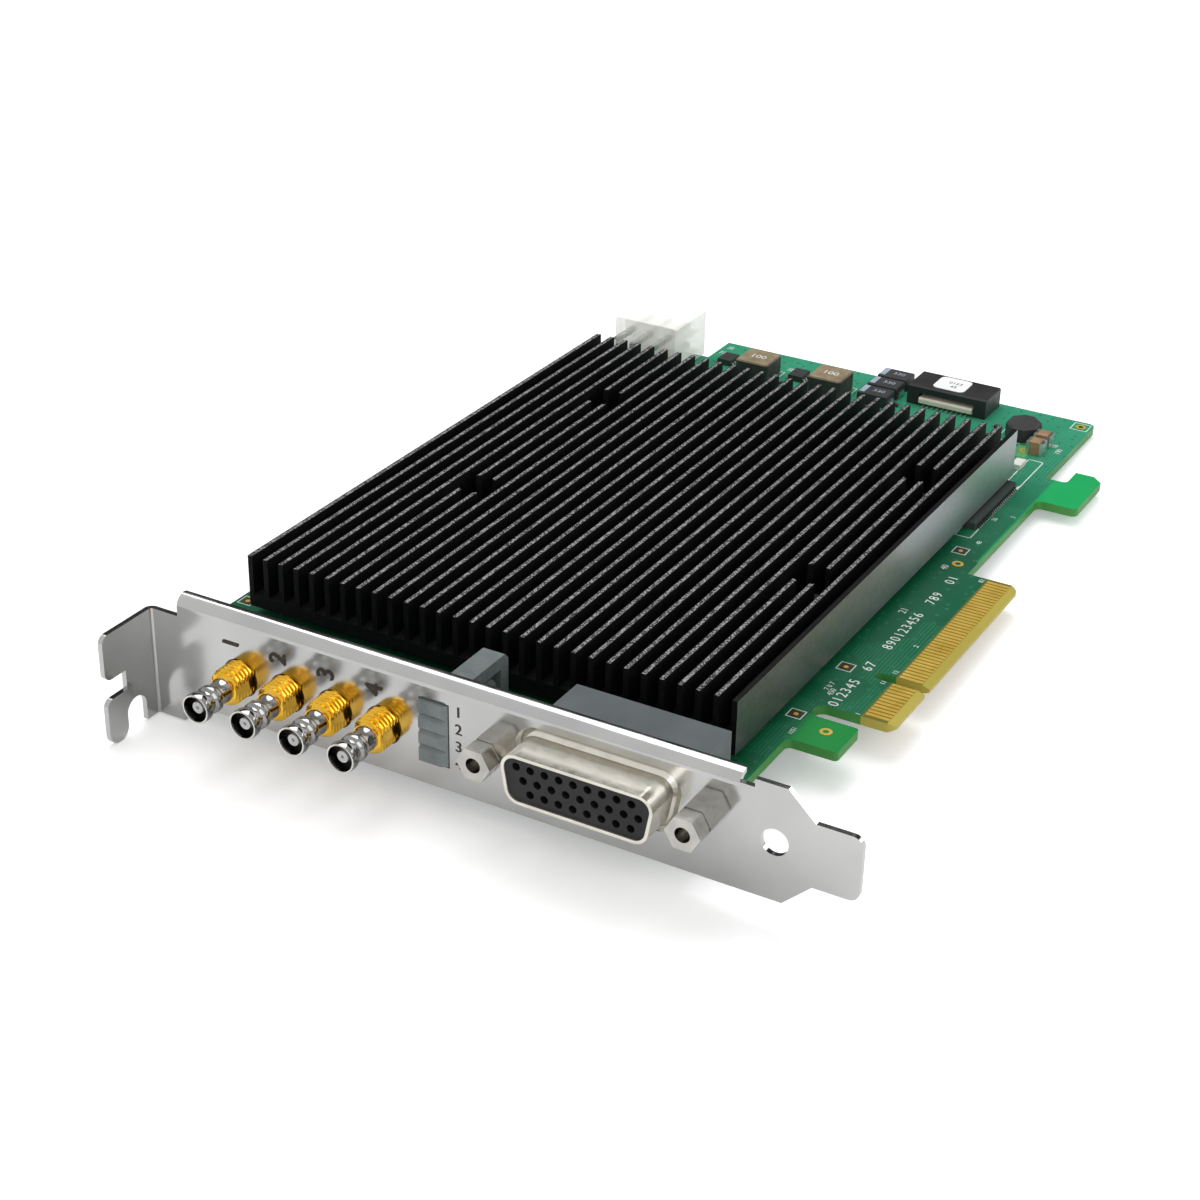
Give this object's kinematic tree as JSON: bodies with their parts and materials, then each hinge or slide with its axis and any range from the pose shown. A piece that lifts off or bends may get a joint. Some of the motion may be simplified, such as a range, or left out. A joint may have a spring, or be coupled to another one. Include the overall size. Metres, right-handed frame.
{
  "type": "frame grabber card",
  "caption": "Expansion card that grabs camera pictures: finned heatsink, steel bracket with coax sockets and a D-shaped socket, edge contacts.",
  "frame": {"origin": "tips of the edge contacts, on the centreline of the key notch, half way through the board", "axes": "+X out of the edge that plugs in, +Y along the card away from the bracket, +Z out of the component side"},
  "size_m": [0.1226, 0.1797, 0.0226],
  "materials": {
    "circuit_board": "green solder mask over glass laminate",
    "contact_gold": "hard gold plating",
    "black_anodised": "black anodised extrusion",
    "screw_steel": "black oxide steel",
    "chip_black": "moulded black package",
    "thermal_pad": "soft thermal pad",
    "bracket_steel": "nickel-plated sheet steel, satin",
    "nickel": "nickel plating",
    "barrel_gold": "gold plating",
    "coax_insulator": "white insulator",
    "coax_housing": "plated die casting",
    "dsub_black": "black moulded insulator",
    "dsub_grey": "grey moulded body",
    "pipe_grey": "smoky clear plastic",
    "lamp_white": "white lamp package",
    "header_nylon": "natural nylon, slightly see-through",
    "tinned": "tin plating",
    "inductor_tan": "pressed iron powder",
    "socket_black": "black moulded body",
    "latch_ivory": "ivory latch",
    "label_white": "white paper label",
    "ceramic_tan": "fired ceramic",
    "resistor_black": "chip resistor body"
  },
  "bodies": {
    "root": {"bracket": "bracket_steel", "ceramic_capacitor_1": "ceramic_tan", "ceramic_capacitor_2": "ceramic_tan", "ceramic_terminals": "tinned", "chip_resistors": "resistor_black", "circuit_board": "circuit_board", "coax_barrel_1": "barrel_gold", "coax_barrel_2": "barrel_gold", "coax_barrel_3": "barrel_gold", "coax_barrel_4": "barrel_gold", "coax_centre_contacts": "barrel_gold", "coax_core_1": "coax_insulator", "coax_core_2": "coax_insulator", "coax_core_3": "coax_insulator", "coax_core_4": "coax_insulator", "coax_housing_1": "coax_housing", "coax_housing_2": "coax_housing", "coax_housing_3": "coax_housing", "coax_housing_4": "coax_housing", "coax_nose_1": "nickel", "coax_nose_2": "nickel", "coax_nose_3": "nickel", "coax_nose_4": "nickel", "contacts_component_side": "contact_gold", "contacts_solder_side": "contact_gold", "dsub_insulator": "dsub_black", "dsub_rear_body": "dsub_grey", "dsub_shell": "nickel", "expansion_socket": "socket_black", "flash_package": "chip_black", "heatsink": "black_anodised", "heatsink_nuts": "screw_steel", "heatsink_screws": "screw_steel", "heatsink_spacers": "screw_steel", "indicator_leds": "lamp_white", "inductor_core_1": "inductor_tan", "inductor_core_2": "inductor_tan", "inductor_terminals": "tinned", "jack_standoffs": "nickel", "light_pipe": "pipe_grey", "main_processor": "chip_black", "memory_chips": "chip_black", "memory_thermal_pads": "thermal_pad", "polymer_capacitor_1": "chip_black", "polymer_capacitor_2": "chip_black", "polymer_capacitor_3": "chip_black", "polymer_terminals": "tinned", "power_header_housing": "header_nylon", "power_header_pins": "tinned", "processor_thermal_pad": "thermal_pad", "regulator_chips": "chip_black", "shielded_coil": "chip_black", "socket_label": "label_white", "socket_latch": "latch_ivory", "socket_leads": "tinned", "status_lamp": "lamp_white"}
  },
  "joints": []
}
